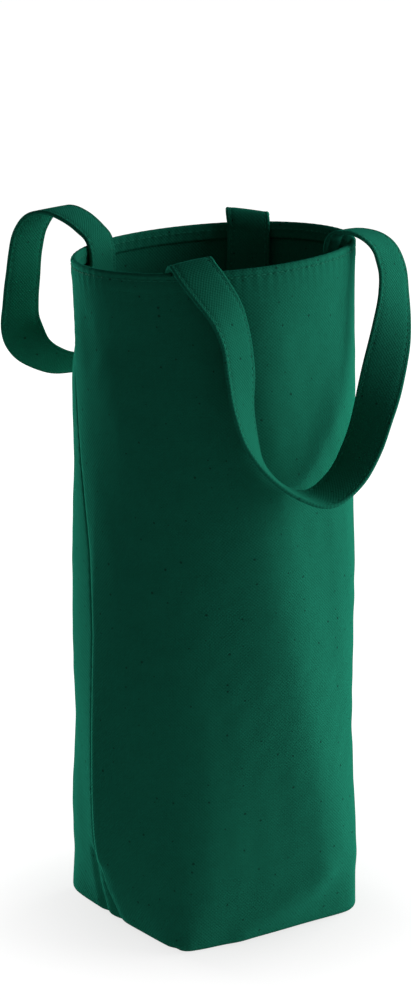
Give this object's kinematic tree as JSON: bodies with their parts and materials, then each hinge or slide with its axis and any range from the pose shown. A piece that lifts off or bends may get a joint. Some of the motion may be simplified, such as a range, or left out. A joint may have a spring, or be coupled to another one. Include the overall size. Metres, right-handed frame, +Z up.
{
  "type": "bottle bag",
  "caption": "Tall soft canvas carrier for a bottle, with a square boxed base, an oval open mouth, side seams and flat sewn strap handles that swing up from the rim.",
  "frame": {"origin": "centre of the base's underside, on the surface that the bag stands on", "axes": "+Z up to the mouth, -Y out of the front panel, side seams at -X and +X"},
  "size_m": [0.142, 0.193, 0.3383],
  "materials": {
    "canvas": "undyed flecks in dark green cotton canvas",
    "strap_canvas": "folded dark green cotton canvas",
    "thread": "matt green sewing thread"
  },
  "bodies": {
    "bag": {"front_panel": "canvas", "back_panel": "canvas", "left_side_seam": "thread", "right_side_seam": "thread", "base_seam": "thread", "left_corner_seam": "thread", "right_corner_seam": "thread", "hem_stitching": "thread", "front_left_handle_end": "strap_canvas", "front_right_handle_end": "strap_canvas", "back_left_handle_end": "strap_canvas", "back_right_handle_end": "strap_canvas", "front_left_end_stitching": "thread", "front_right_end_stitching": "thread", "back_left_end_stitching": "thread", "back_right_end_stitching": "thread"},
    "front_strap": {"front_handle": "strap_canvas", "front_handle_stitching": "thread"},
    "back_strap": {"back_handle": "strap_canvas", "back_handle_stitching": "thread"}
  },
  "joints": [
    {"name": "front_strap_swing", "type": "hinge", "parent": "bag", "child": "front_strap", "pos_m": [0.0038, -0.03841, 0.3214], "axis": [-0.9973, -0.0729, 0], "range_deg": [0, 155]},
    {"name": "back_strap_swing", "type": "hinge", "parent": "bag", "child": "back_strap", "pos_m": [0.00685, 0.04298, 0.3214], "axis": [0.9931, -0.1169, 0], "range_deg": [0, 145]}
  ]
}
